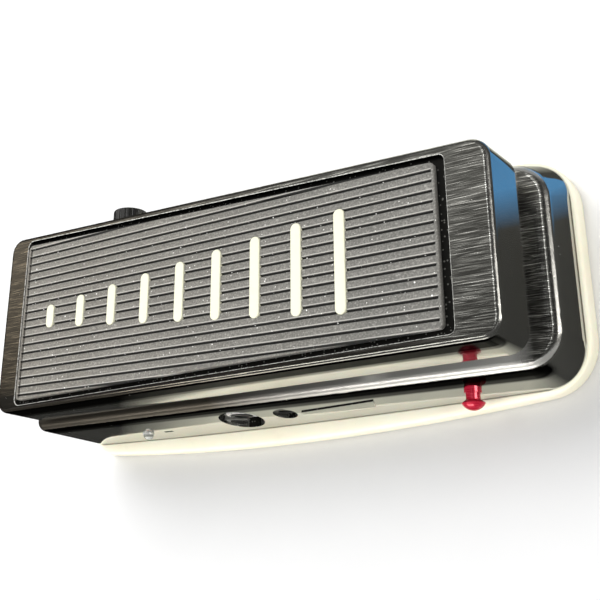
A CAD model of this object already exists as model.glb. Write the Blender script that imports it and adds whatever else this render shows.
"""Looks of the rocker volume pedal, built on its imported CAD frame.

Metres. +X points to the heel end, -Y is the near side, with the input jack, and +Z is up. The boot, the mat,
its inlaid bars and the rubber stops are built here. The metal and plastic parts keep their CAD shapes and
get materials.
"""

import math

import bmesh
import bpy
from mathutils import Matrix, Vector

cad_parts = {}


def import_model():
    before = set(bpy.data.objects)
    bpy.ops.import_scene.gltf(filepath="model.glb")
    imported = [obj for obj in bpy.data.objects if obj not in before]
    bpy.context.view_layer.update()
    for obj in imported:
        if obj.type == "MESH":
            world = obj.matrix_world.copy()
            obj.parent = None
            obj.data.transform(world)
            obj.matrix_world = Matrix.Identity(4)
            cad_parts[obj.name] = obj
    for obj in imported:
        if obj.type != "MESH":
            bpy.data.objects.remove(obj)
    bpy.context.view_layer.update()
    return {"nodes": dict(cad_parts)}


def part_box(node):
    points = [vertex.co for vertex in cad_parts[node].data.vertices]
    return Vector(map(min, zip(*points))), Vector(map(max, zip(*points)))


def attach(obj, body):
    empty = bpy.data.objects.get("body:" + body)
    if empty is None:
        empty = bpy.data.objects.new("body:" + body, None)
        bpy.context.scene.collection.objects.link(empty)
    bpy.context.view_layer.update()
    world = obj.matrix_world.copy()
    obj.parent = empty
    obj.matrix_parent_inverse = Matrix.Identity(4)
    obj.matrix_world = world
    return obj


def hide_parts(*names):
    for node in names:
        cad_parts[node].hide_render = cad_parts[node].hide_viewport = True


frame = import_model()

MM = 0.001
X, Y, Z = range(3)
NEAR = -1
FAR = 1

# Points closer than these are welded, and no length is divided by less than the last one
WELD = 1e-6
FINE_WELD = 1e-7
TINY = 1e-12

# Edges that turn by more than this stay sharp
SHARP_TURN = math.radians(40)

# Treadle at rest: its top face passes through this height at x = 0 and falls towards the heel
TREADLE_TILT = math.radians(3.2)
TREADLE_TOP = 69.10 * MM

# Housing's deck: its top passes through this height at x = 0 and falls this much per length
DECK_LEVEL = 36.45 * MM
DECK_SLOPE = 0.0981

# Boot. Its wall's outlines are cut from the frame at one height and its screw openings at another. Sections
# are millimetres: inwards from the outside wall, outwards from the pocket's wall or the opening, then height
BOOT_POINTS = 400
BOOT_HEIGHT = 8.4 * MM
BOOT_FLOOR = 2.6 * MM
WALL_CUT = 0.6 * BOOT_HEIGHT
FLOOR_CUT = 0.5 * BOOT_FLOOR
BOOT_OUTER = ((0.90, 0.0), (0.35, 0.12), (0.08, 0.45), (0.0, 1.0), (0.0, 6.5), (0.12, 7.15), (0.45, 7.8),
              (1.0, 8.22), (1.8, 8.4))
BOOT_LIP = ((0.55, 8.4), (0.25, 8.32), (0.06, 8.1), (0.0, 7.7))
OPENING_POINTS = 40
OPENING_RIM = ((0.4, 0.0), (0.1, 0.1), (0.0, 0.4))

# Mat, in the treadle's own level frame with the treadle's top face at zero
MAT_X = (-106.1 * MM, 97.6 * MM)
MAT_HALF = (36.0 * MM, 29.2 * MM)
MAT_CORNER = (2.2 * MM, 1.8 * MM)
MAT_TOP = -0.1 * MM
MAT_UNDER = -2.2 * MM
MAT_MARGIN = 2.0 * MM
MAT_ROWS = 60
CORNER_STEPS = 6
RIB_PITCH = 3.75 * MM
RIB_CROWN = 0.03 * MM
GROOVES = 19
GROOVE_HALF = 0.42 * MM
GROOVE_DEPTH = 0.9 * MM

# Groove's section in shares of its half width and depth, from its near side to its far side
GROOVE_SECTION = ((-3.4, 0.0), (-1.9, -0.05), (-1.25, -0.17), (-1.0, -0.45), (-0.9, -0.9), (-0.5, -1.0),
                  (0.5, -1.0), (0.9, -0.9), (1.0, -0.45), (1.25, -0.17), (1.9, -0.05), (3.4, 0.0))

# Bead around the mat, in shares of its width and lift, and the slot between it and the ribs at the toe
BEAD = 1.2 * MM
BEAD_LIFT = 0.25 * MM
BEAD_SECTION = ((0.02, 0.0), (0.10, 0.5), (0.30, 0.9), (0.50, 1.0), (0.70, 0.9), (0.88, 0.5), (0.97, 0.0),
                (1.0, -1.0))
SLOT = 0.85 * MM
SLOT_DEPTH = 0.9 * GROOVE_DEPTH
RIB_END_WALL = 0.04 * MM
RIB_END = ((0.0, -0.3 * GROOVE_DEPTH), (0.12 * MM, -0.1 * GROOVE_DEPTH), (0.4 * MM, RIB_CROWN))

# Inlaid level bars, and their soft top edge in millimetres: inwards, then height under the top
BAR_COUNT = 9
BAR_FIRST = -88.0 * MM
BAR_STEP = 18.5 * MM
BAR_RADIUS = 2.2 * MM
BAR_SHORT = 3.0 * MM
BAR_GROWTH = 1.8 * MM
BAR_LIFT = 0.6 * MM
BAR_SEAT = 0.9 * MM
BAR_EDGE = ((0.0, 0.32), (0.05, 0.15), (0.16, 0.05), (0.32, 0.0))
CAP_STEPS = 12

# Rubber stops and pad: (share of the radius, height in millimetres above the head's base or the pad's face)
LATHE_POINTS = 48
STOP_STEM = 2.5 * MM
STOP_CHAMFER = (0.5 * MM, 0.6 * MM)
STOP_HEAD = 4.9 * MM
STOP_SECTION = ((1.0, 0.0), (1.0, 0.5), (0.94, 1.2), (0.93, 2.6), (0.97, 3.7), (0.93, 4.4), (0.82, 4.8),
                (0.6, 4.9))
PAD_SECTION = ((0.5, 0.15), (0.62, 0.0), (0.88, 0.0), (0.97, 0.3), (1.0, 1.0))
PAD_SEAT = 1.0 * MM


# ---------------------------------------------------------------- mesh helpers


def add_object(name, mesh_data):
    """Object from a bmesh, shaded smooth with its sharp corners kept."""
    bmesh.ops.recalc_face_normals(mesh_data, faces=mesh_data.faces)
    mesh = bpy.data.meshes.new(name)
    mesh_data.to_mesh(mesh)
    mesh_data.free()
    mesh.polygons.foreach_set("use_smooth", [True] * len(mesh.polygons))
    mesh.set_sharp_from_angle(angle=SHARP_TURN)
    made = bpy.data.objects.new(name, mesh)
    bpy.context.scene.collection.objects.link(made)
    return made


def everything(mesh_data):
    """All vertices, edges and faces of a bmesh."""
    return mesh_data.verts[:] + mesh_data.edges[:] + mesh_data.faces[:]


def ring(mesh_data, points):
    """Vertices at the points, in order."""
    return [mesh_data.verts.new(p) for p in points]


def skin(mesh_data, rings):
    """Quads between each closed ring and the next one, all of equal length."""
    for low, high in zip(rings, rings[1:]):
        for i in range(len(low)):
            j = (i + 1) % len(low)
            mesh_data.faces.new((low[i], low[j], high[j], high[i]))


def closed_form(mesh_data, outlines):
    """Closed form through outlines of equal length, with its first and last one as flat ends."""
    rings = [ring(mesh_data, outline) for outline in outlines]
    skin(mesh_data, rings)
    mesh_data.faces.new(rings[0])
    mesh_data.faces.new(rings[-1])


def loops_at(node, height):
    """Closed outlines of a CAD node at a height, the longest first, each a list of points in order."""
    cut = bmesh.new()
    cut.from_mesh(frame["nodes"][node].data)
    bmesh.ops.remove_doubles(cut, verts=cut.verts, dist=WELD)
    plane = {"plane_co": (0, 0, height), "plane_no": (0, 0, 1)}
    made = bmesh.ops.bisect_plane(cut, geom=everything(cut), **plane)["geom_cut"]
    left = {}
    for edge in [e for e in made if isinstance(e, bmesh.types.BMEdge)]:
        for a, b in (edge.verts, reversed(edge.verts)):
            left.setdefault(a, []).append(b)
    loops = []
    while left:
        start = next(iter(left))
        walk = [start]
        following = left.pop(start)[0]
        while following is not start:
            walk.append(following)
            onward = [v for v in left.pop(following) if v is not walk[-2]]
            following = onward[0]
        loops.append([v.co.copy() for v in walk])
    cut.free()
    return sorted(loops, key=loop_length, reverse=True)


def loop_length(loop):
    """Length of a closed outline."""
    return sum((loop[i] - loop[i - 1]).length for i in range(len(loop)))


def resample(loop, count):
    """Evenly spaced points along a closed outline."""
    step = loop_length(loop) / count
    points = []
    travelled = 0.0
    for i in range(len(loop)):
        start, end = loop[i - 1], loop[i]
        span = (end - start).length
        while len(points) < count and len(points) * step <= travelled + span:
            points.append(start.lerp(end, (len(points) * step - travelled) / max(span, TINY)))
        travelled += span
    return points


def nearest_on(loop, point):
    """The place on a closed outline that lies closest to the point."""
    best = None
    for i in range(len(loop)):
        start, span = loop[i - 1], loop[i] - loop[i - 1]
        share = max(0.0, min(1.0, (point - start).dot(span) / max(span.length_squared, TINY)))
        place = start + span * share
        if best is None or (place - point).length < (best - point).length:
            best = place
    return best


def at_height(point, height):
    """The point moved to a height."""
    return Vector((point.x, point.y, height))


def circle(centre, radius, height, count):
    """Points around a vertical axis."""
    spokes = [Vector((math.cos(math.tau * i / count), math.sin(math.tau * i / count))) for i in range(count)]
    return [at_height(centre.xy + radius * spoke, height) for spoke in spokes]


def lathe(mesh_data, centre, section):
    """Closed turned form around a vertical axis, from (radius, height) pairs in order."""
    closed_form(mesh_data, [circle(centre, r, z, LATHE_POINTS) for r, z in section])


def fill_flat(mesh_data, rings):
    """Flat face between an outer ring and the rings of its holes."""
    edges = [mesh_data.edges.get((r[i - 1], r[i])) for r in rings for i in range(len(r))]
    bmesh.ops.triangle_fill(mesh_data, use_beauty=True, edges=edges)


def to_treadle(made):
    """Moves a piece drawn in the treadle's level frame to its rest place, in its mesh."""
    made.data.transform(Matrix.Translation((0, 0, TREADLE_TOP)) @ Matrix.Rotation(TREADLE_TILT, 4, "Y"))
    return made


# ---------------------------------------------------------------- soft pieces


def boot():
    """Rubber boot: soft-edged band around the housing's foot, with openings in its floor for the screws."""
    outer, pocket = loops_at("base_boot", WALL_CUT)[:2]
    outside = resample(outer, BOOT_POINTS)
    inside = [nearest_on(pocket, p) for p in outside]
    inward = [(b - a).normalized() for a, b in zip(outside, inside)]
    outlines = [[at_height(p + n * (d * MM), z * MM) for p, n in zip(outside, inward)]
                for d, z in BOOT_OUTER]
    outlines += [[at_height(p - n * (d * MM), z * MM) for p, n in zip(inside, inward)]
                 for d, z in BOOT_LIP]
    outlines.append([at_height(p, BOOT_FLOOR) for p in inside])
    mesh_data = bmesh.new()
    rings = [ring(mesh_data, outline) for outline in outlines]
    skin(mesh_data, rings)
    openings = [floor_opening(mesh_data, hole) for hole in loops_at("base_boot", FLOOR_CUT)[1:]]
    fill_flat(mesh_data, [rings[0]] + [low for low, high in openings])
    fill_flat(mesh_data, [rings[-1]] + [high for low, high in openings])
    bmesh.ops.remove_doubles(mesh_data, verts=mesh_data.verts, dist=WELD)
    return add_object("rubber_boot", mesh_data)


def floor_opening(mesh_data, hole):
    """Wall of one round opening through the boot's floor; gives its lowest and its highest ring."""
    centre = sum(hole, Vector()) / len(hole)
    radius = (hole[0] - centre).length
    section = [(d * MM, z * MM) for d, z in OPENING_RIM] + [(0.0, BOOT_FLOOR)]
    rings = [ring(mesh_data, circle(centre, radius + d, z, OPENING_POINTS)) for d, z in section]
    skin(mesh_data, rings)
    return rings[0], rings[-1]


def rib_section():
    """(place, height) pairs across the mat, for ribs with crowned tops and soft rims."""
    edge = MAT_HALF[0] + MAT_MARGIN
    section = [(-edge, 0.0)]
    for i in range(GROOVES):
        middle = (i - (GROOVES - 1) / 2.0) * RIB_PITCH
        section.append((middle - 0.5 * RIB_PITCH, RIB_CROWN))
        section += [(middle + u * GROOVE_HALF, v * GROOVE_DEPTH) for u, v in GROOVE_SECTION]
    section.append((0.5 * GROOVES * RIB_PITCH, RIB_CROWN))
    section.append((edge, 0.0))
    return section


def mat_length_section():
    """(place, height, whether grooved) along the mat inside its bead, from the toe slot to the heel."""
    toe, heel = MAT_X
    ribs = toe + BEAD + SLOT
    stop = heel - BEAD
    rows = [(toe, -SLOT_DEPTH, False), (ribs - RIB_END_WALL, -SLOT_DEPTH, False)]
    rows += [(ribs + beyond, height, True) for beyond, height in RIB_END]
    rows += [(ribs + (stop - ribs) * i / MAT_ROWS, RIB_CROWN, True) for i in range(1, MAT_ROWS + 1)]
    rows.append((heel, RIB_CROWN, True))
    return rows


def mat_height(length_height, grooved, rib_height):
    """Height of the mat's top where a row along it and a row across it cross."""
    return min(length_height, rib_height) if grooved else length_height


def mat_planes(inset):
    """Upright planes, as (point, outward normal), around the mat's outline drawn in by the inset."""
    toe, heel = zip(MAT_X, MAT_HALF, MAT_CORNER)
    outline = [(Vector((x, side * half)), radius)
               for (x, half, radius), side in ((toe, NEAR), (heel, NEAR), (heel, FAR), (toe, FAR))]
    planes = []
    for i, (here, radius) in enumerate(outline):
        before = outline[i - 1][0]
        after = outline[(i + 1) % len(outline)][0]
        out_a = Vector(((here - before).y, -(here - before).x)).normalized()
        out_b = Vector(((after - here).y, -(after - here).x)).normalized()
        planes.append((here - out_b * inset, out_b))
        middle = here - (out_a + out_b) * (radius / (1.0 + out_a.dot(out_b)))
        for k in range(1, CORNER_STEPS):
            out = out_a.slerp(out_b, k / CORNER_STEPS)
            planes.append((middle + out * (radius - inset), out))
    return planes


def mat():
    """Ribbed rubber mat: a sheet shaped by two sections, trimmed to its outline, with a bead around it."""
    across = rib_section()
    mesh_data = bmesh.new()
    grid = [ring(mesh_data, [(x, y, MAT_TOP + mat_height(h, grooved, rib)) for y, rib in across])
            for x, h, grooved in mat_length_section()]
    for low, high in zip(grid, grid[1:]):
        for j in range(len(across) - 1):
            mesh_data.faces.new((low[j], high[j], high[j + 1], low[j + 1]))
    for point, out in mat_planes(BEAD):
        plane = {"plane_co": point.to_3d(), "plane_no": out.to_3d()}
        bmesh.ops.bisect_plane(mesh_data, geom=everything(mesh_data), clear_outer=True, **plane)
    bmesh.ops.remove_doubles(mesh_data, verts=mesh_data.verts, dist=FINE_WELD)
    reached = 0.0
    for outward, lift in BEAD_SECTION:
        extend_rim(mesh_data, (outward - reached) * BEAD, MAT_TOP + lift * BEAD_LIFT)
        reached = outward
    extend_rim(mesh_data, 0.0, MAT_UNDER)
    bmesh.ops.holes_fill(mesh_data, edges=open_edges(mesh_data), sides=0)
    return to_treadle(add_object("ribbed_mat", mesh_data))


def open_edges(mesh_data):
    """Edges that have a face on one side only."""
    return [e for e in mesh_data.edges if e.is_boundary]


def extend_rim(mesh_data, outward, height):
    """Grows the sheet's open edge outward to a height."""
    rim = open_edges(mesh_data)
    normals = {}
    for edge in rim:
        a, b = edge.verts
        face = edge.link_faces[0]
        out = (b.co - a.co).cross(Vector((0, 0, 1)))
        out.z = 0.0
        if out.dot(face.calc_center_median() - a.co) > 0:
            out.negate()
        for vert in edge.verts:
            normals[vert] = normals.get(vert, Vector()) + out.normalized()
    moved = {v: n.normalized() * outward for v, n in normals.items()}
    new = bmesh.ops.extrude_edge_only(mesh_data, edges=rim)["geom"]
    for vert in [v for v in new if isinstance(v, bmesh.types.BMVert)]:
        old = [e.other_vert(vert) for e in vert.link_edges if e.other_vert(vert) in moved][0]
        vert.co = old.co + moved[old]
        vert.co.z = height


def capsule(x, half, radius, height):
    """Round-ended outline along Y."""
    turns = [math.pi * i / CAP_STEPS for i in range(CAP_STEPS + 1)]
    far = [Vector((x + radius * math.cos(a), half + radius * math.sin(a), height)) for a in turns]
    near = [Vector((x - radius * math.cos(a), -half - radius * math.sin(a), height)) for a in turns]
    return far + near


def bars():
    """Round-ended level bars inlaid in the mat, each longer than the one before, with soft top edges."""
    top = MAT_TOP + BAR_LIFT
    steps = [(0.0, -BAR_LIFT - BAR_SEAT)] + [(d * MM, -z * MM) for d, z in BAR_EDGE]
    mesh_data = bmesh.new()
    for i in range(BAR_COUNT):
        x = BAR_FIRST + i * BAR_STEP
        half = BAR_SHORT + i * BAR_GROWTH
        closed_form(mesh_data, [capsule(x, half, BAR_RADIUS - d, top + z) for d, z in steps])
    return to_treadle(add_object("inlaid_bars", mesh_data))


def middle_and_half(low, high):
    """Middle and half width along x between a box's corners."""
    return (low.x + high.x) / 2.0, (high.x - low.x) / 2.0


def heel_stops():
    """Two rubber stops on the deck, with softly rounded heads and a moulded waist."""
    low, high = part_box("heel_bumpers")
    x, radius = middle_and_half(low, high)
    base = high.z - STOP_HEAD
    inset, rise = STOP_CHAMFER
    section = [(STOP_STEM - inset, low.z), (STOP_STEM, low.z + rise), (STOP_STEM, base)]
    section += [(share * radius, base + z * MM) for share, z in STOP_SECTION]
    mesh_data = bmesh.new()
    for side in (NEAR, FAR):
        lathe(mesh_data, Vector((x, side * (high.y - radius), 0.0)), section)
    return add_object("heel_stops", mesh_data)


def strike_pad():
    """Rubber pad under the treadle that meets the footswitch, with a dished face."""
    low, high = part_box("striker_pad")
    x, radius = middle_and_half(low, high)
    section = [(share * radius, low.z + z * MM) for share, z in PAD_SECTION]
    section.append((radius, high.z - PAD_SEAT))
    mesh_data = bmesh.new()
    lathe(mesh_data, Vector((x, 0.0, 0.0)), section)
    return add_object("strike_pad", mesh_data)


# ---------------------------------------------------------------- materials

# Usual range of a noise node's values
NOISE_RANGE = (0.3, 0.7)

# Inputs of the Mix node by number: its numbers and its colours
MIX_NUMBERS = (2, 3)
MIX_COLOURS = (6, 7)


def rgb(red, green, blue):
    """Colour with full opacity."""
    return (red, green, blue, 1.0)


BLACK = rgb(0.0, 0.0, 0.0)
WHITE = rgb(1.0, 1.0, 1.0)


class Look:
    """One material's node tree, with short ways to add and join nodes."""

    def __init__(self, name):
        self.material = bpy.data.materials.new(name)
        self.material.use_nodes = True
        self.tree = self.material.node_tree
        self.surface = self.tree.nodes["Principled BSDF"]
        self.coords = self.add("TexCoord")

    def add(self, kind, inputs=(), **settings):
        """New node with its inputs given as (name or number, value or socket) pairs."""
        node = self.tree.nodes.new("ShaderNode" + kind)
        for key, value in settings.items():
            setattr(node, key, value)
        for key, value in inputs:
            self.set(node, key, value)
        return node

    def set(self, node, key, value):
        """Gives an input a value, or joins it to another node's output."""
        if isinstance(value, bpy.types.NodeSocket):
            self.tree.links.new(value, node.inputs[key])
        else:
            node.inputs[key].default_value = value

    def finish(self, **inputs):
        """Sets the surface's own inputs and gives the material."""
        for key, value in inputs.items():
            self.set(self.surface, key.replace("_", " "), value)
        return self.material

    def place(self, axis):
        """The object's own coordinate along an axis."""
        return self.add("SeparateXYZ", ((0, self.coords.outputs["Object"]),)).outputs[axis]

    def facing(self, axis):
        """How far the surface faces along an axis, from -1 to 1."""
        return self.add("SeparateXYZ", ((0, self.coords.outputs["Normal"]),)).outputs[axis]

    def noise(self, scale, stretch=(1.0, 1.0, 1.0), detail=4.0):
        """Noise whose grains are stretched along the axes with small values."""
        place = self.add("Mapping", (("Vector", self.coords.outputs["Object"]), ("Scale", stretch)))
        grains = (("Vector", place.outputs[0]), ("Scale", scale), ("Detail", detail))
        return self.add("TexNoise", grains).outputs[0]

    def spread(self, value, start, end, low=0.0, high=1.0):
        """The value's range start..end mapped onto low..high."""
        return self.add("MapRange", enumerate((value, start, end, low, high))).outputs[0]

    def vary(self, noise, low=0.0, high=1.0):
        """A noise mapped onto low..high."""
        return self.spread(noise, *NOISE_RANGE, low, high)

    def maths(self, operation, *values):
        """Arithmetic on one or two values."""
        return self.add("Math", enumerate(values), operation=operation).outputs[0]

    def times(self, first, *others):
        """Product of the values."""
        for other in others:
            first = self.maths("MULTIPLY", first, other)
        return first

    def tint(self, share, a, b):
        """Colour between a and b."""
        inputs = zip((0,) + MIX_COLOURS, (share, a, b))
        return self.add("Mix", inputs, data_type="RGBA").outputs[2]

    def between(self, share, a, b):
        """Number between a and b."""
        inputs = zip((0,) + MIX_NUMBERS, (share, a, b))
        return self.add("Mix", inputs, data_type="FLOAT").outputs[0]

    def bump(self, height, depth, strength=1.0):
        """Surface normal roughened by a height pattern of the given depth."""
        return self.add("Bump", (("Height", height), ("Distance", depth), ("Strength", strength))).outputs[0]

    def specks(self, scale, size, share):
        """One where a fine dust speck lies, zero elsewhere."""
        cells = self.add("TexVoronoi", (("Vector", self.coords.outputs["Object"]), ("Scale", scale)))
        near = self.maths("LESS_THAN", cells.outputs["Distance"], size)
        split = self.add("SeparateColor", ((0, cells.outputs["Color"]),))
        chosen = self.maths("LESS_THAN", split.outputs[0], share)
        return self.times(near, chosen)

    def axis_share(self, axis, start, end):
        """Zero to one along an axis of the object between two places."""
        return self.spread(self.place(axis), start, end)

    def facing_up(self, start, end):
        """Zero to one between two amounts of facing up."""
        return self.spread(self.facing(Z), start, end)


# Black plated castings. How far faces of each kind face up, or to a side, as the ends of a soft change
TOP_FACE = (0.50, 0.62)
LEVEL_FACE = (0.90, 0.95)
PAST_FILLET = (0.84, 0.95)
NEAR_WALL = (-0.75, -0.96)
LENGTHWISE = (0.36, 0.22)
CORNER_FACE = ((0.86, 0.80), (0.55, 0.65))

# Depths under the castings' tops, and lengths over which their finish changes
EDGE_FADE = 0.4 * MM
BRUSH_START = 8.0 * MM
SHOULDER_FADE = 4.0 * MM
WORN_DEPTH = (-0.32 * MM, -0.28 * MM)

# Brushing as noise with so many grains per metre along x, y and z
BRUSH_FINE = (50.0, 3300.0, 1500.0)
BRUSH_COARSE = (20.0, 900.0, 500.0)
BRUSH_LINE = (26.0, 3300.0, 900.0)

# Where along the pedal the castings' colours turn from toe to heel, on brushed tops and on smooth edges
BRUSHED_TURN = (-0.11, 0.05)
SMOOTH_TURN = (-0.025, 0.10)

# Near rim of the brushed tops, short of the heel end, which reflects less
QUIET_Y = (-0.030, -0.034)
QUIET_X = (0.105, 0.085)
QUIET_SHARE = 0.93

# Dark shoulder of the near walls: it is black by the first share, and duller from there to its full share
SHOULDER_BLACK = 0.35
SHOULDER_METALLIC = 0.03
SHOULDER_IOR = 1.04
PLATE_IOR = 1.5


def black_metal(name, mirror, slope, top, depth, satin, edge_tone, brushed_from, shoulder):
    """Black plated casting: mirror-bright walls, satin long edges and a sloped top brushed along the pedal.

    Its top lies at the height "top" at x = 0 and falls by "slope". It is brushed from x = "brushed_from" on.
    What lies more than "depth" below the top is wall or sunken ground, and the near wall stays dark down to
    "shoulder" below it.
    """
    look = Look(name)
    height = look.maths("SUBTRACT", look.maths("ADD", look.place(Z), look.times(look.place(X), slope)), top)
    above = look.times(look.facing_up(*TOP_FACE), look.spread(height, -depth, -depth + EDGE_FADE))
    lengthwise = look.spread(look.maths("ABSOLUTE", look.facing(Y)), *LENGTHWISE)
    up = look.times(above, lengthwise, look.axis_share(X, brushed_from, brushed_from + BRUSH_START))
    edge = look.maths("SUBTRACT", above, up)
    sunk = look.times(look.facing_up(*LEVEL_FACE), look.spread(height, -0.8 * depth, -depth))
    worn = worn_corners(look, height)
    dust = look.specks(400.0, 0.07, 0.03)
    marks = look.maths("MAXIMUM", dust, worn)
    flat = look.facing_up(*PAST_FILLET)
    fine = look.noise(1.0, BRUSH_FINE, 4.0)
    coarse = look.noise(1.0, BRUSH_COARSE, 3.0)
    shaded = look.times(look.spread(height, -shoulder - SHOULDER_FADE, -shoulder),
                        look.spread(look.facing(Y), *NEAR_WALL))
    dulled = look.maths("SUBTRACT", shaded, look.times(shaded, above))

    colour = look.tint(up, wall_colour(look, mirror, shaded), brushed_colour(look, fine, coarse, flat))
    smooth = look.tint(look.axis_share(X, *SMOOTH_TURN), rgb(0.09, 0.08, 0.065), edge_tone)
    colour = look.tint(edge, colour, smooth)
    colour = look.tint(sunk, colour, sunken_colour(look))
    colour = look.tint(marks, colour, rgb(0.75, 0.75, 0.71))

    wall_rough = look.vary(look.noise(90.0, (0.3, 1.0, 1.0)), 0.05, 0.09)
    rough = look.between(edge, look.between(up, wall_rough, look.vary(fine, 0.17, 0.27)), satin)
    rough = look.maths("ADD", rough, look.times(look.maths("MAXIMUM", dust, sunk), 0.4))
    metallic = look.times(look.between(above, 0.96, 0.85), look.spread(worn, 0.0, 1.0, 1.0, 0.3),
                          look.spread(dulled, SHOULDER_BLACK, 1.0, 1.0, SHOULDER_METALLIC))
    grain = look.times(above, flat, look.maths("ADD", fine, look.times(coarse, 0.6)))
    across = look.add("CombineXYZ", ((Y, 1.0),))
    return look.finish(Base_Color=colour, Metallic=metallic, Roughness=rough,
                       IOR=look.spread(dulled, SHOULDER_BLACK, 1.0, PLATE_IOR, SHOULDER_IOR),
                       Anisotropic=look.times(up, 0.7), Tangent=across.outputs[0],
                       Normal=look.bump(grain, 0.010 * MM, 0.8))


def worn_corners(look, height):
    """One in chips along the top's rounded corners, where the plating has worn through."""
    chips = look.spread(look.noise(1400.0, detail=3.0), 0.35, 0.55, 0.35, 1.0)
    rounded = [look.facing_up(*ends) for ends in CORNER_FACE]
    return look.times(look.spread(height, *WORN_DEPTH), *rounded, chips)


def brushed_colour(look, fine, coarse, flat):
    """Brushed top: bronze at the toe, greyer at the heel, with plain fillets and a quiet near rim."""
    heel = look.axis_share(X, *BRUSHED_TURN)
    dark = look.tint(heel, rgb(0.070, 0.060, 0.045), rgb(0.055, 0.055, 0.050))
    bright = look.tint(heel, rgb(0.34, 0.28, 0.20), rgb(0.48, 0.48, 0.45))
    brightest = look.tint(heel, rgb(0.46, 0.39, 0.28), rgb(0.74, 0.74, 0.70))
    scratch = look.times(look.spread(fine, 0.46, 0.72), look.spread(coarse, 0.35, 0.7, 0.35, 1.0))
    line = look.spread(look.noise(1.0, BRUSH_LINE, 3.0), 0.59, 0.67)
    brushed = look.tint(line, look.tint(scratch, dark, bright), brightest)
    brushed = look.tint(look.spread(flat, 0.0, 1.0, 0.30, 1.0), rgb(0.26, 0.26, 0.25), brushed)
    quiet = look.times(look.axis_share(Y, *QUIET_Y), look.axis_share(X, *QUIET_X), QUIET_SHARE)
    return look.tint(quiet, brushed, rgb(0.03, 0.028, 0.024))


def wall_colour(look, mirror, shaded):
    """Mirror-bright wall, slightly clouded, black at its shaded shoulder."""
    cloud = look.vary(look.noise(40.0), 0.9, 1.0)
    return look.tint(look.spread(shaded, 0.0, SHOULDER_BLACK), look.tint(cloud, BLACK, mirror), BLACK)


def sunken_colour(look):
    """Nearly black ground below the top, with grey specks."""
    return look.tint(look.specks(900.0, 0.3, 0.4), rgb(0.014, 0.014, 0.013), rgb(0.16, 0.16, 0.15))


def housing_black():
    """The housing's plating, with its brushed part at the heel end."""
    return black_metal("housing_black_plate", mirror=rgb(0.56, 0.56, 0.54), slope=DECK_SLOPE, top=DECK_LEVEL,
                       depth=4.5 * MM, satin=0.36, edge_tone=rgb(0.86, 0.86, 0.84), brushed_from=0.104,
                       shoulder=5.5 * MM)


def treadle_black():
    """The treadle's plating, brushed over its whole length."""
    return black_metal("treadle_black_plate", mirror=rgb(0.47, 0.47, 0.455), slope=math.tan(TREADLE_TILT),
                       top=TREADLE_TOP, depth=1.6 * MM, satin=0.14, edge_tone=rgb(0.20, 0.20, 0.19),
                       brushed_from=-1.0, shoulder=9.0 * MM)


def plated(name, colour, rough, grain, metallic):
    """Turned or plated metal with fine machining grain, faint stains and a little dust."""
    look = Look(name)
    fine = look.noise(900.0, grain, 3.0)
    stain = look.spread(look.noise(120.0), 0.35, 0.7)
    dark = rgb(*(0.72 * c for c in colour[:3]))
    return look.finish(Base_Color=look.tint(stain, colour, dark), Metallic=metallic,
                       Roughness=look.vary(fine, 0.8 * rough, 1.3 * rough),
                       Normal=look.bump(fine, 0.01 * MM, 0.6))


def moulded(name, colour, rough, grain):
    """Moulded plastic with a fine texture and slight changes in colour and shine."""
    look = Look(name)
    fine = look.noise(1400.0, detail=3.0)
    light = rgb(*(min(1.0, 1.25 * c + 0.004) for c in colour[:3]))
    return look.finish(Base_Color=look.tint(look.vary(look.noise(70.0)), colour, light),
                       Roughness=look.vary(fine, 0.85 * rough, 1.2 * rough),
                       Normal=look.bump(fine, grain * MM, 0.7))


def boot_rubber():
    """Cream rubber with a silky skin, faint yellowing and a little grey dust low on its wall."""
    look = Look("boot_cream_rubber")
    fine = look.noise(2200.0, detail=3.0)
    stain = look.spread(look.noise(160.0, detail=6.0), 0.60, 0.78, 0.0, 0.22)
    cream = look.tint(look.vary(look.noise(26.0)), rgb(0.89, 0.845, 0.66), rgb(0.92, 0.89, 0.735))
    low = look.axis_share(Z, 1.6 * MM, 0.0)
    colour = look.tint(look.times(low, 0.25), cream, rgb(0.62, 0.59, 0.52))
    colour = look.tint(stain, colour, rgb(0.74, 0.69, 0.56))
    colour = look.tint(look.specks(420.0, 0.05, 0.06), colour, rgb(0.35, 0.33, 0.28))
    return look.finish(Base_Color=colour, Roughness=look.vary(fine, 0.42, 0.60),
                       Subsurface_Weight=0.12, Subsurface_Scale=2.0 * MM, Sheen_Weight=0.1,
                       Normal=look.bump(fine, 0.02 * MM, 0.6))


# Soft change at a groove's edges, past its half width; the light rim's middle past it; the rim's soft change;
# and the soft change at the grooves' ends
GROOVE_FADE = (0.12 * MM, -0.06 * MM)
RIM_PAST = 0.30 * MM
RIM_FADE = (0.26 * MM, 0.08 * MM)
END_FADE = 0.1 * MM


def groove_bands(look):
    """Shares that pick out the grooves' floors and the light rims on their far sides."""
    shifted = look.maths("ADD", look.place(Y), (GROOVES + 0.5) * RIB_PITCH)
    from_middle = look.maths("SUBTRACT", look.maths("MODULO", shifted, RIB_PITCH), 0.5 * RIB_PITCH)
    from_rim = look.maths("SUBTRACT", from_middle, GROOVE_HALF + RIM_PAST)
    toe, heel = MAT_X
    length = look.times(look.axis_share(X, toe + BEAD, toe + BEAD + END_FADE),
                        look.axis_share(X, heel - BEAD + END_FADE, heel - BEAD))
    floors = look.spread(look.maths("ABSOLUTE", from_middle), *(GROOVE_HALF + past for past in GROOVE_FADE))
    rims = look.spread(look.maths("ABSOLUTE", from_rim), *RIM_FADE)
    return look.times(floors, length), look.times(rims, length)


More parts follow.
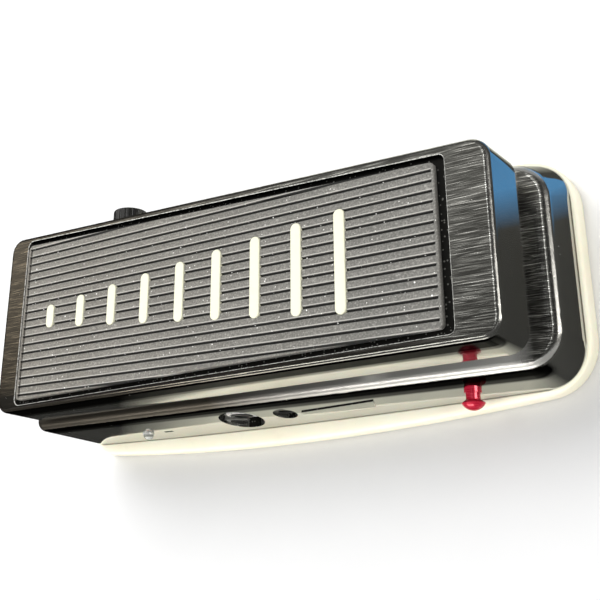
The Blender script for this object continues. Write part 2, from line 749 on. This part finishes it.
def mat_rubber():
    """Grey ribbed rubber: dusty ribs, dark grooves with light rims, a warmer toe end and white specks."""
    look = Look("mat_grey_rubber")
    fine = look.noise(2600.0, detail=4.0)
    grain = look.noise(1500.0, detail=5.0)
    broad = look.vary(look.noise(38.0), 0.0, 0.35)
    streak = look.spread(look.noise(1.0, (30.0, 420.0, 420.0), 3.0), 0.45, 0.75, 0.0, 0.30)
    groove, rim = groove_bands(look)
    rubber = look.tint(look.axis_share(X, -0.10, 0.10), rgb(0.172, 0.158, 0.133), rgb(0.136, 0.134, 0.124))
    layers = (
        (broad, rgb(0.23, 0.22, 0.20)),
        (streak, rgb(0.28, 0.27, 0.245)),
        (look.spread(grain, 0.36, 0.60, 0.65, 0.0), rgb(0.070, 0.070, 0.064)),
        (look.spread(grain, 0.58, 0.72, 0.0, 0.45), rgb(0.42, 0.41, 0.38)),
        (look.times(rim, 0.55), rgb(0.50, 0.49, 0.46)),
        (groove, rgb(0.006, 0.006, 0.0055)),
        (look.times(look.specks(620.0, 0.15, 0.22), 0.7), rgb(0.80, 0.79, 0.75)),
        (look.times(look.specks(330.0, 0.10, 0.14), 0.9), rgb(0.90, 0.89, 0.86)),
    )
    for share, colour in layers:
        rubber = look.tint(share, rubber, colour)
    return look.finish(Base_Color=rubber, Roughness=look.vary(fine, 0.62, 0.85), Sheen_Weight=0.08,
                       Sheen_Roughness=0.5, Normal=look.bump(fine, 0.05 * MM, 0.9))


def bar_rubber():
    """Cream inlay, smooth and slightly soiled in places."""
    look = Look("bar_cream_rubber")
    fine = look.noise(1800.0, detail=3.0)
    soil = look.spread(look.noise(150.0, detail=5.0), 0.55, 0.75, 0.0, 0.3)
    colour = look.tint(soil, rgb(0.66, 0.66, 0.51), rgb(0.60, 0.58, 0.45))
    colour = look.tint(look.specks(600.0, 0.07, 0.06), colour, rgb(0.35, 0.34, 0.30))
    return look.finish(Base_Color=colour, Roughness=look.vary(fine, 0.38, 0.55),
                       Normal=look.bump(fine, 0.015 * MM, 0.6))


def dark_rubber():
    """Matt black rubber of the stops."""
    look = Look("stop_rubber")
    fine = look.noise(1500.0, detail=4.0)
    return look.finish(Base_Color=look.tint(fine, rgb(0.012, 0.012, 0.012), rgb(0.045, 0.045, 0.043)),
                       Roughness=look.vary(fine, 0.65, 0.85), Normal=look.bump(fine, 0.04 * MM, 0.8))


def red_anodised():
    """Bright red anodised metal, turned, with a lighter worn bloom."""
    look = Look("anodised_red")
    turned = look.noise(1.0, (300.0, 5200.0, 300.0), 2.0)
    bloom = look.spread(look.noise(500.0, detail=5.0), 0.5, 0.8, 0.0, 0.5)
    colour = look.tint(bloom, rgb(0.56, 0.015, 0.045), rgb(0.80, 0.10, 0.15))
    return look.finish(Base_Color=colour, Metallic=0.35, Roughness=look.vary(turned, 0.17, 0.32),
                       Coat_Weight=0.35, Coat_Roughness=0.08, Normal=look.bump(turned, 0.01 * MM, 0.5))


def clear_dome():
    """Clear lamp with faint moulding marks."""
    look = Look("lamp_clear_dome")
    fine = look.noise(700.0, detail=3.0)
    return look.finish(Base_Color=rgb(0.93, 0.95, 0.93), Transmission_Weight=0.85, IOR=1.5,
                       Roughness=look.vary(fine, 0.02, 0.10), Normal=look.bump(fine, 0.01 * MM, 0.4))


def board_green():
    """Green solder mask with tracks showing through as broad lighter bands."""
    look = Look("board_solder_mask")
    place = look.add("Mapping", (("Vector", look.coords.outputs["Object"]), ("Scale", (140.0, 420.0, 1.0))))
    cells = look.add("TexVoronoi", (("Vector", place.outputs[0]), ("Scale", 1.0)), distance="MANHATTAN")
    track = look.spread(cells.outputs["Distance"], 0.35, 0.45)
    return look.finish(Base_Color=look.tint(track, rgb(0.010, 0.11, 0.035), rgb(0.02, 0.20, 0.07)),
                       Roughness=look.vary(look.noise(1500.0), 0.25, 0.4), Coat_Weight=0.4,
                       Normal=look.bump(track, 0.03 * MM, 0.8))


# Grains of plain, turned and rolled metal
PLAIN = (1.0, 1.0, 1.0)
TURNED = (1.0, 12.0, 1.0)
ROLLED = (0.1, 3.0, 1.0)

STEEL = rgb(0.62, 0.62, 0.60)

# Metals by material slot: name, colour, roughness, grain and how metallic they look
PLATED = {
    "nut_chrome": ("bright_chrome", rgb(0.90, 0.90, 0.88), 0.28, TURNED, 0.45),
    "screw_steel": ("zinc_steel", STEEL, 0.30, PLAIN, 1.0),
    "axle_steel": ("ground_steel", STEEL, 0.18, TURNED, 1.0),
    "plate_steel": ("rolled_steel", rgb(0.50, 0.50, 0.49), 0.38, ROLLED, 1.0),
    "bracket_steel": ("pressed_steel", rgb(0.55, 0.55, 0.53), 0.34, PLAIN, 1.0),
    "shaft_aluminium": ("bare_aluminium", rgb(0.75, 0.75, 0.74), 0.25, TURNED, 1.0),
    "pot_metal": ("tinned_can", rgb(0.60, 0.60, 0.57), 0.32, PLAIN, 1.0),
    "pinion_brass": ("cut_brass", rgb(0.70, 0.48, 0.20), 0.25, PLAIN, 1.0),
}

# Plastics by material slot: name, colour, roughness and the depth of their grain in millimetres
MOULDED = {
    "knob_black": ("knob_gloss_black", rgb(0.012, 0.012, 0.012), 0.16, 0.004),
    "jack_black": ("jack_plastic", rgb(0.018, 0.018, 0.018), 0.42, 0.02),
    "switch_case": ("switch_plastic", rgb(0.02, 0.05, 0.12), 0.40, 0.02),
    "bushing_plastic": ("bearing_plastic", rgb(0.62, 0.60, 0.52), 0.40, 0.02),
    "rack_plastic": ("rack_plastic_white", rgb(0.72, 0.70, 0.63), 0.36, 0.02),
    "lever_white": ("lever_plastic", rgb(0.55, 0.55, 0.52), 0.40, 0.02),
    "capacitor_black": ("capacitor_sleeve", rgb(0.02, 0.022, 0.03), 0.30, 0.02),
    "chip_black": ("chip_case", rgb(0.022, 0.022, 0.022), 0.50, 0.02),
    "film_amber": ("film_case", rgb(0.42, 0.16, 0.03), 0.30, 0.02),
    "resistor_tan": ("resistor_body", rgb(0.48, 0.36, 0.20), 0.40, 0.02),
    "inductor_red": ("inductor_case", rgb(0.40, 0.03, 0.03), 0.35, 0.02),
    "battery_case": ("battery_wrap", rgb(0.10, 0.10, 0.11), 0.30, 0.02),
}


def materials():
    """Every finish by the record's material slot."""
    finishes = {
        "housing_black": housing_black(),
        "treadle_black": treadle_black(),
        "boot_rubber": boot_rubber(),
        "mat_rubber": mat_rubber(),
        "bar_rubber": bar_rubber(),
        "bumper_rubber": dark_rubber(),
        "button_red": red_anodised(),
        "lamp_clear": clear_dome(),
        "board_green": board_green(),
    }
    finishes.update({slot: plated(*settings) for slot, settings in PLATED.items()})
    finishes.update({slot: moulded(*settings) for slot, settings in MOULDED.items()})
    return finishes


# ---------------------------------------------------------------- studio

# Room light, and what reflections see of the room instead
ROOM_LIGHT = 0.55
DARK_ROOM = rgb(0.038, 0.036, 0.032)

# Floor: its half width, the light that it gives of itself, its whiteness, and what reflections see of it
FLOOR_HALF = 4.0
FLOOR_GLOW = 0.10
FLOOR_WHITE = 0.93
MIRRORED_WARMTH = 0.86
MIRRORED_DARK = (0.02, 0.05)
MIRRORED_DARK_X = (0.10, 0.125)

# The floor's lit strip, in reflections only: its long edge's slope in y, and where it fades in and out
STRIP_SLOPE = 0.06
STRIP_Y = (-0.076, -0.066)
STRIP_TOE = (-0.12, -0.05)
STRIP_HEEL = (0.122, 0.098)

# A fade that is over before any card begins
STEADY = (-1.0, -0.9)


def flat_sheet(name, half_x, half_y):
    """Level rectangle around the origin."""
    mesh = bpy.data.meshes.new(name)
    corners = [(-half_x, -half_y, 0), (half_x, -half_y, 0), (half_x, half_y, 0), (-half_x, half_y, 0)]
    mesh.from_pydata(corners, [], [(0, 1, 2, 3)])
    made = bpy.data.objects.new(name, mesh)
    bpy.context.scene.collection.objects.link(made)
    return made


def card(name, place, size, colour, strength, fade=STEADY):
    """Level glowing card that shows only in reflections; along its y it grows from nothing over the fade."""
    made = flat_sheet(name, size[0] / 2.0, size[1] / 2.0)
    made.location = place
    made.data.materials.append(glow(name + "_light", rgb(*colour), strength, fade))
    made.visible_camera = False
    made.visible_diffuse = False
    made.visible_shadow = False
    made.visible_transmission = False


def glow(name, colour, strength, fade):
    """Emission that comes out of clear nothing along y over the fade."""
    look = Look(name)
    light = look.add("Emission", enumerate((colour, strength)))
    clear = look.add("BsdfTransparent")
    mix = look.add("MixShader", enumerate((look.axis_share(Y, *fade), clear.outputs[0], light.outputs[0])))
    look.set(look.tree.nodes["Material Output"], 0, mix.outputs[0])
    return look.material


def floor():
    """Plain white floor that reads as nearly black in the pedal's reflections, except for a lit strip."""
    made = flat_sheet("floor", FLOOR_HALF, FLOOR_HALF)
    look = Look("pale_floor")
    path = look.add("LightPath")
    mirrored = path.outputs["Is Glossy Ray"]
    from_edge = look.maths("SUBTRACT", look.place(Y), look.times(look.place(X), STRIP_SLOPE))
    strip = look.times(look.spread(from_edge, *STRIP_Y), look.axis_share(X, *STRIP_TOE),
                       look.axis_share(X, *STRIP_HEEL))
    dark = look.between(look.axis_share(X, *MIRRORED_DARK_X), *MIRRORED_DARK)
    seen = look.between(mirrored, FLOOR_WHITE, look.between(strip, dark, 1.0))
    shade = look.times(seen, look.vary(look.noise(60.0), 0.985, 1.0))
    warm = look.times(shade, look.between(mirrored, 1.0, MIRRORED_WARMTH))
    colour = look.add("CombineColor", enumerate((shade, shade, warm)))
    own = look.times(path.outputs["Is Camera Ray"], FLOOR_GLOW)
    matt = look.finish(Base_Color=colour.outputs[0], Roughness=0.9, Specular_IOR_Level=0.0,
                       Emission_Color=WHITE, Emission_Strength=own)
    made.data.materials.append(matt)
    return made


def world():
    """Soft white room light; reflections see a dark room."""
    sky = bpy.data.worlds.new("room")
    sky.use_nodes = True
    nodes, links = sky.node_tree.nodes, sky.node_tree.links
    path = nodes.new("ShaderNodeLightPath")
    mix = nodes.new("ShaderNodeMixShader")
    room = nodes.new("ShaderNodeBackground")
    dark = nodes["Background"]
    for background, colour, strength in ((room, WHITE, ROOM_LIGHT), (dark, DARK_ROOM, 1.0)):
        background.inputs["Color"].default_value = colour
        background.inputs["Strength"].default_value = strength
    for i, output in enumerate((path.outputs["Is Glossy Ray"], room.outputs[0], dark.outputs[0])):
        links.new(output, mix.inputs[i])
    links.new(mix.outputs[0], nodes["World Output"].inputs[0])
    bpy.context.scene.world = sky


def lamp(name, place, aim, size, power, colour=(1.0, 1.0, 1.0)):
    """Soft area light pointed at a place."""
    data = bpy.data.lights.new(name, "AREA")
    data.shape = "RECTANGLE"
    data.size, data.size_y = size
    data.energy = power
    data.color = colour
    made = bpy.data.objects.new(name, data)
    made.location = place
    made.rotation_euler = (Vector(aim) - Vector(place)).to_track_quat("-Z", "Y").to_euler()
    bpy.context.scene.collection.objects.link(made)
    return made


def spare(light, made):
    """Keeps a light off one object."""
    group = bpy.data.collections.new(light.name + "_spares")
    group.objects.link(made)
    light.light_linking.receiver_collection = group
    group.collection_objects[0].light_linking.link_state = "EXCLUDE"


# Camera: where it stands, which way its back faces, and how far it is rolled about its own line of sight
CAMERA_PLACE = (0.22571, -0.0965, 0.32341)
CAMERA_BEARING = math.radians(-29.174)
CAMERA_ELEVATION = math.radians(47.941)
CAMERA_ROLL = math.radians(-67.012)


def camera():
    """Camera above the heel end, rolled so that the pedal lies across the picture."""
    data = bpy.data.cameras.new("camera")
    data.sensor_width = 36.0
    data.lens = 53.97
    data.shift_x = 0.0702
    data.shift_y = -0.1058
    made = bpy.data.objects.new("camera", data)
    bearing = Vector((math.cos(CAMERA_BEARING), math.sin(CAMERA_BEARING)))
    back = at_height(math.cos(CAMERA_ELEVATION) * bearing, math.sin(CAMERA_ELEVATION))
    across = Vector((0, 0, 1)).cross(back).normalized()
    right = math.cos(CAMERA_ROLL) * across + math.sin(CAMERA_ROLL) * back.cross(across)
    turn = Matrix((right, back.cross(right), back)).transposed().to_4x4()
    made.matrix_world = Matrix.Translation(CAMERA_PLACE) @ turn
    bpy.context.scene.collection.objects.link(made)
    bpy.context.scene.camera = made


def lamps(ground):
    """Key light from the far side of the toe, and three fills that spare the floor."""
    foot = (0.0, 0.0, 0.0)
    wall = (0.0, 0.0, 0.02)
    key = lamp("key", place=(-0.42, 0.58, 1.22), aim=foot, size=(0.8, 0.8), power=14.0)
    fill = lamp("fill", place=(-0.42, -0.62, 0.80), aim=wall, size=(0.7, 0.6), power=8.0)
    low_fill = lamp("low_fill", place=(-0.30, -1.10, 0.30), aim=wall, size=(1.0, 0.3), power=4.6,
                    colour=(1.0, 0.97, 0.90))
    heel_fill = lamp("heel_fill", place=(1.00, 0.10, 0.40), aim=foot, size=(0.3, 0.6), power=5.0,
                     colour=(1.0, 0.97, 0.92))
    for light in (key, fill):
        light.visible_glossy = False
    for light in (fill, low_fill, heel_fill):
        spare(light, ground)


def cards():
    """What the glossy faces reflect: a pale sky, two bright strips and a blue glow beside the heel end."""
    card("sky", place=(-0.55, 0.55, 1.0), size=(2.0, 1.0), colour=(1.0, 0.98, 0.94), strength=1.30,
         fade=(-0.45, 0.0))
    card("heel_strip", place=(0.17, 0.36, 0.98), size=(0.10, 0.5), colour=(1.0, 1.0, 1.0), strength=8.0)
    card("near_strip", place=(-0.36, -0.52, 0.80), size=(0.8, 0.10), colour=(1.0, 0.97, 0.92), strength=12.0)
    card("blue_side", place=(0.1485, 0.14, 0.002), size=(0.043, 0.26), colour=(0.10, 0.34, 0.66),
         strength=1.12, fade=(-0.118, -0.101))


def studio():
    """Floor, light and camera."""
    ground = floor()
    world()
    camera()
    lamps(ground)
    cards()
    scene = bpy.context.scene
    scene.view_settings.view_transform = "Standard"
    scene.cycles.use_denoising = True


# ---------------------------------------------------------------- the pedal


def pieces():
    """Builds the soft pieces and dresses every part."""
    finishes = materials()
    soft = (
        (boot(), "base", "base_boot", "boot_rubber"),
        (mat(), "treadle", "tread_mat", "mat_rubber"),
        (bars(), "treadle", "tread_bars", "bar_rubber"),
        (heel_stops(), "base", "heel_bumpers", "bumper_rubber"),
        (strike_pad(), "treadle", "striker_pad", "bumper_rubber"),
    )
    for made, body, node, slot in soft:
        made.data.materials.append(finishes[slot])
        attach(made, body)
        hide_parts(node)
    for node in frame["nodes"].values():
        for held in node.material_slots:
            held.material = finishes[held.material.name.split(".")[0]]


pieces()
studio()
